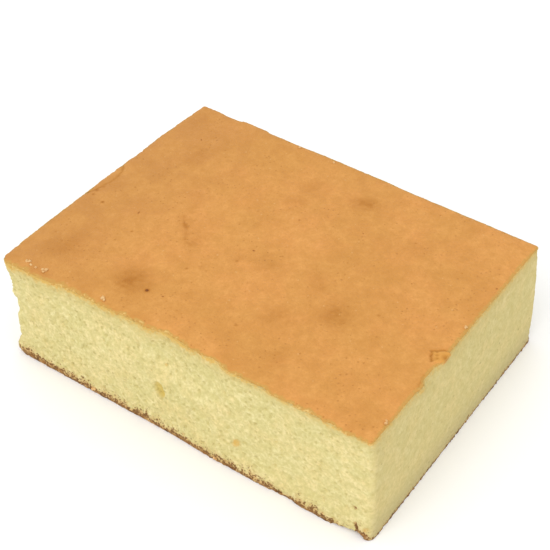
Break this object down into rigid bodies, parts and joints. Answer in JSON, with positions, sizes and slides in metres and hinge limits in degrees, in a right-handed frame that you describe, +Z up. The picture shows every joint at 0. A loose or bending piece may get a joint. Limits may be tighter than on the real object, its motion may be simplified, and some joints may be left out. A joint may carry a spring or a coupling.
{
  "type": "butter cake",
  "caption": "Rectangular slab of plain butter cake with a smooth browned top, pale yellow cut walls of fine crumb and a thin dark base crust.",
  "frame": {"origin": "middle of the flat base, at the level the cake stands on", "axes": "+X along the long cut wall, +Y from the front wall to the back wall, +Z up to the browned top"},
  "size_m": [0.2058, 0.1548, 0.0617],
  "materials": {
    "crumb": "matte",
    "top_crust": "satin",
    "base_crust": "matte"
  },
  "bodies": {
    "root": {"butter_cake": "crumb"}
  },
  "joints": []
}
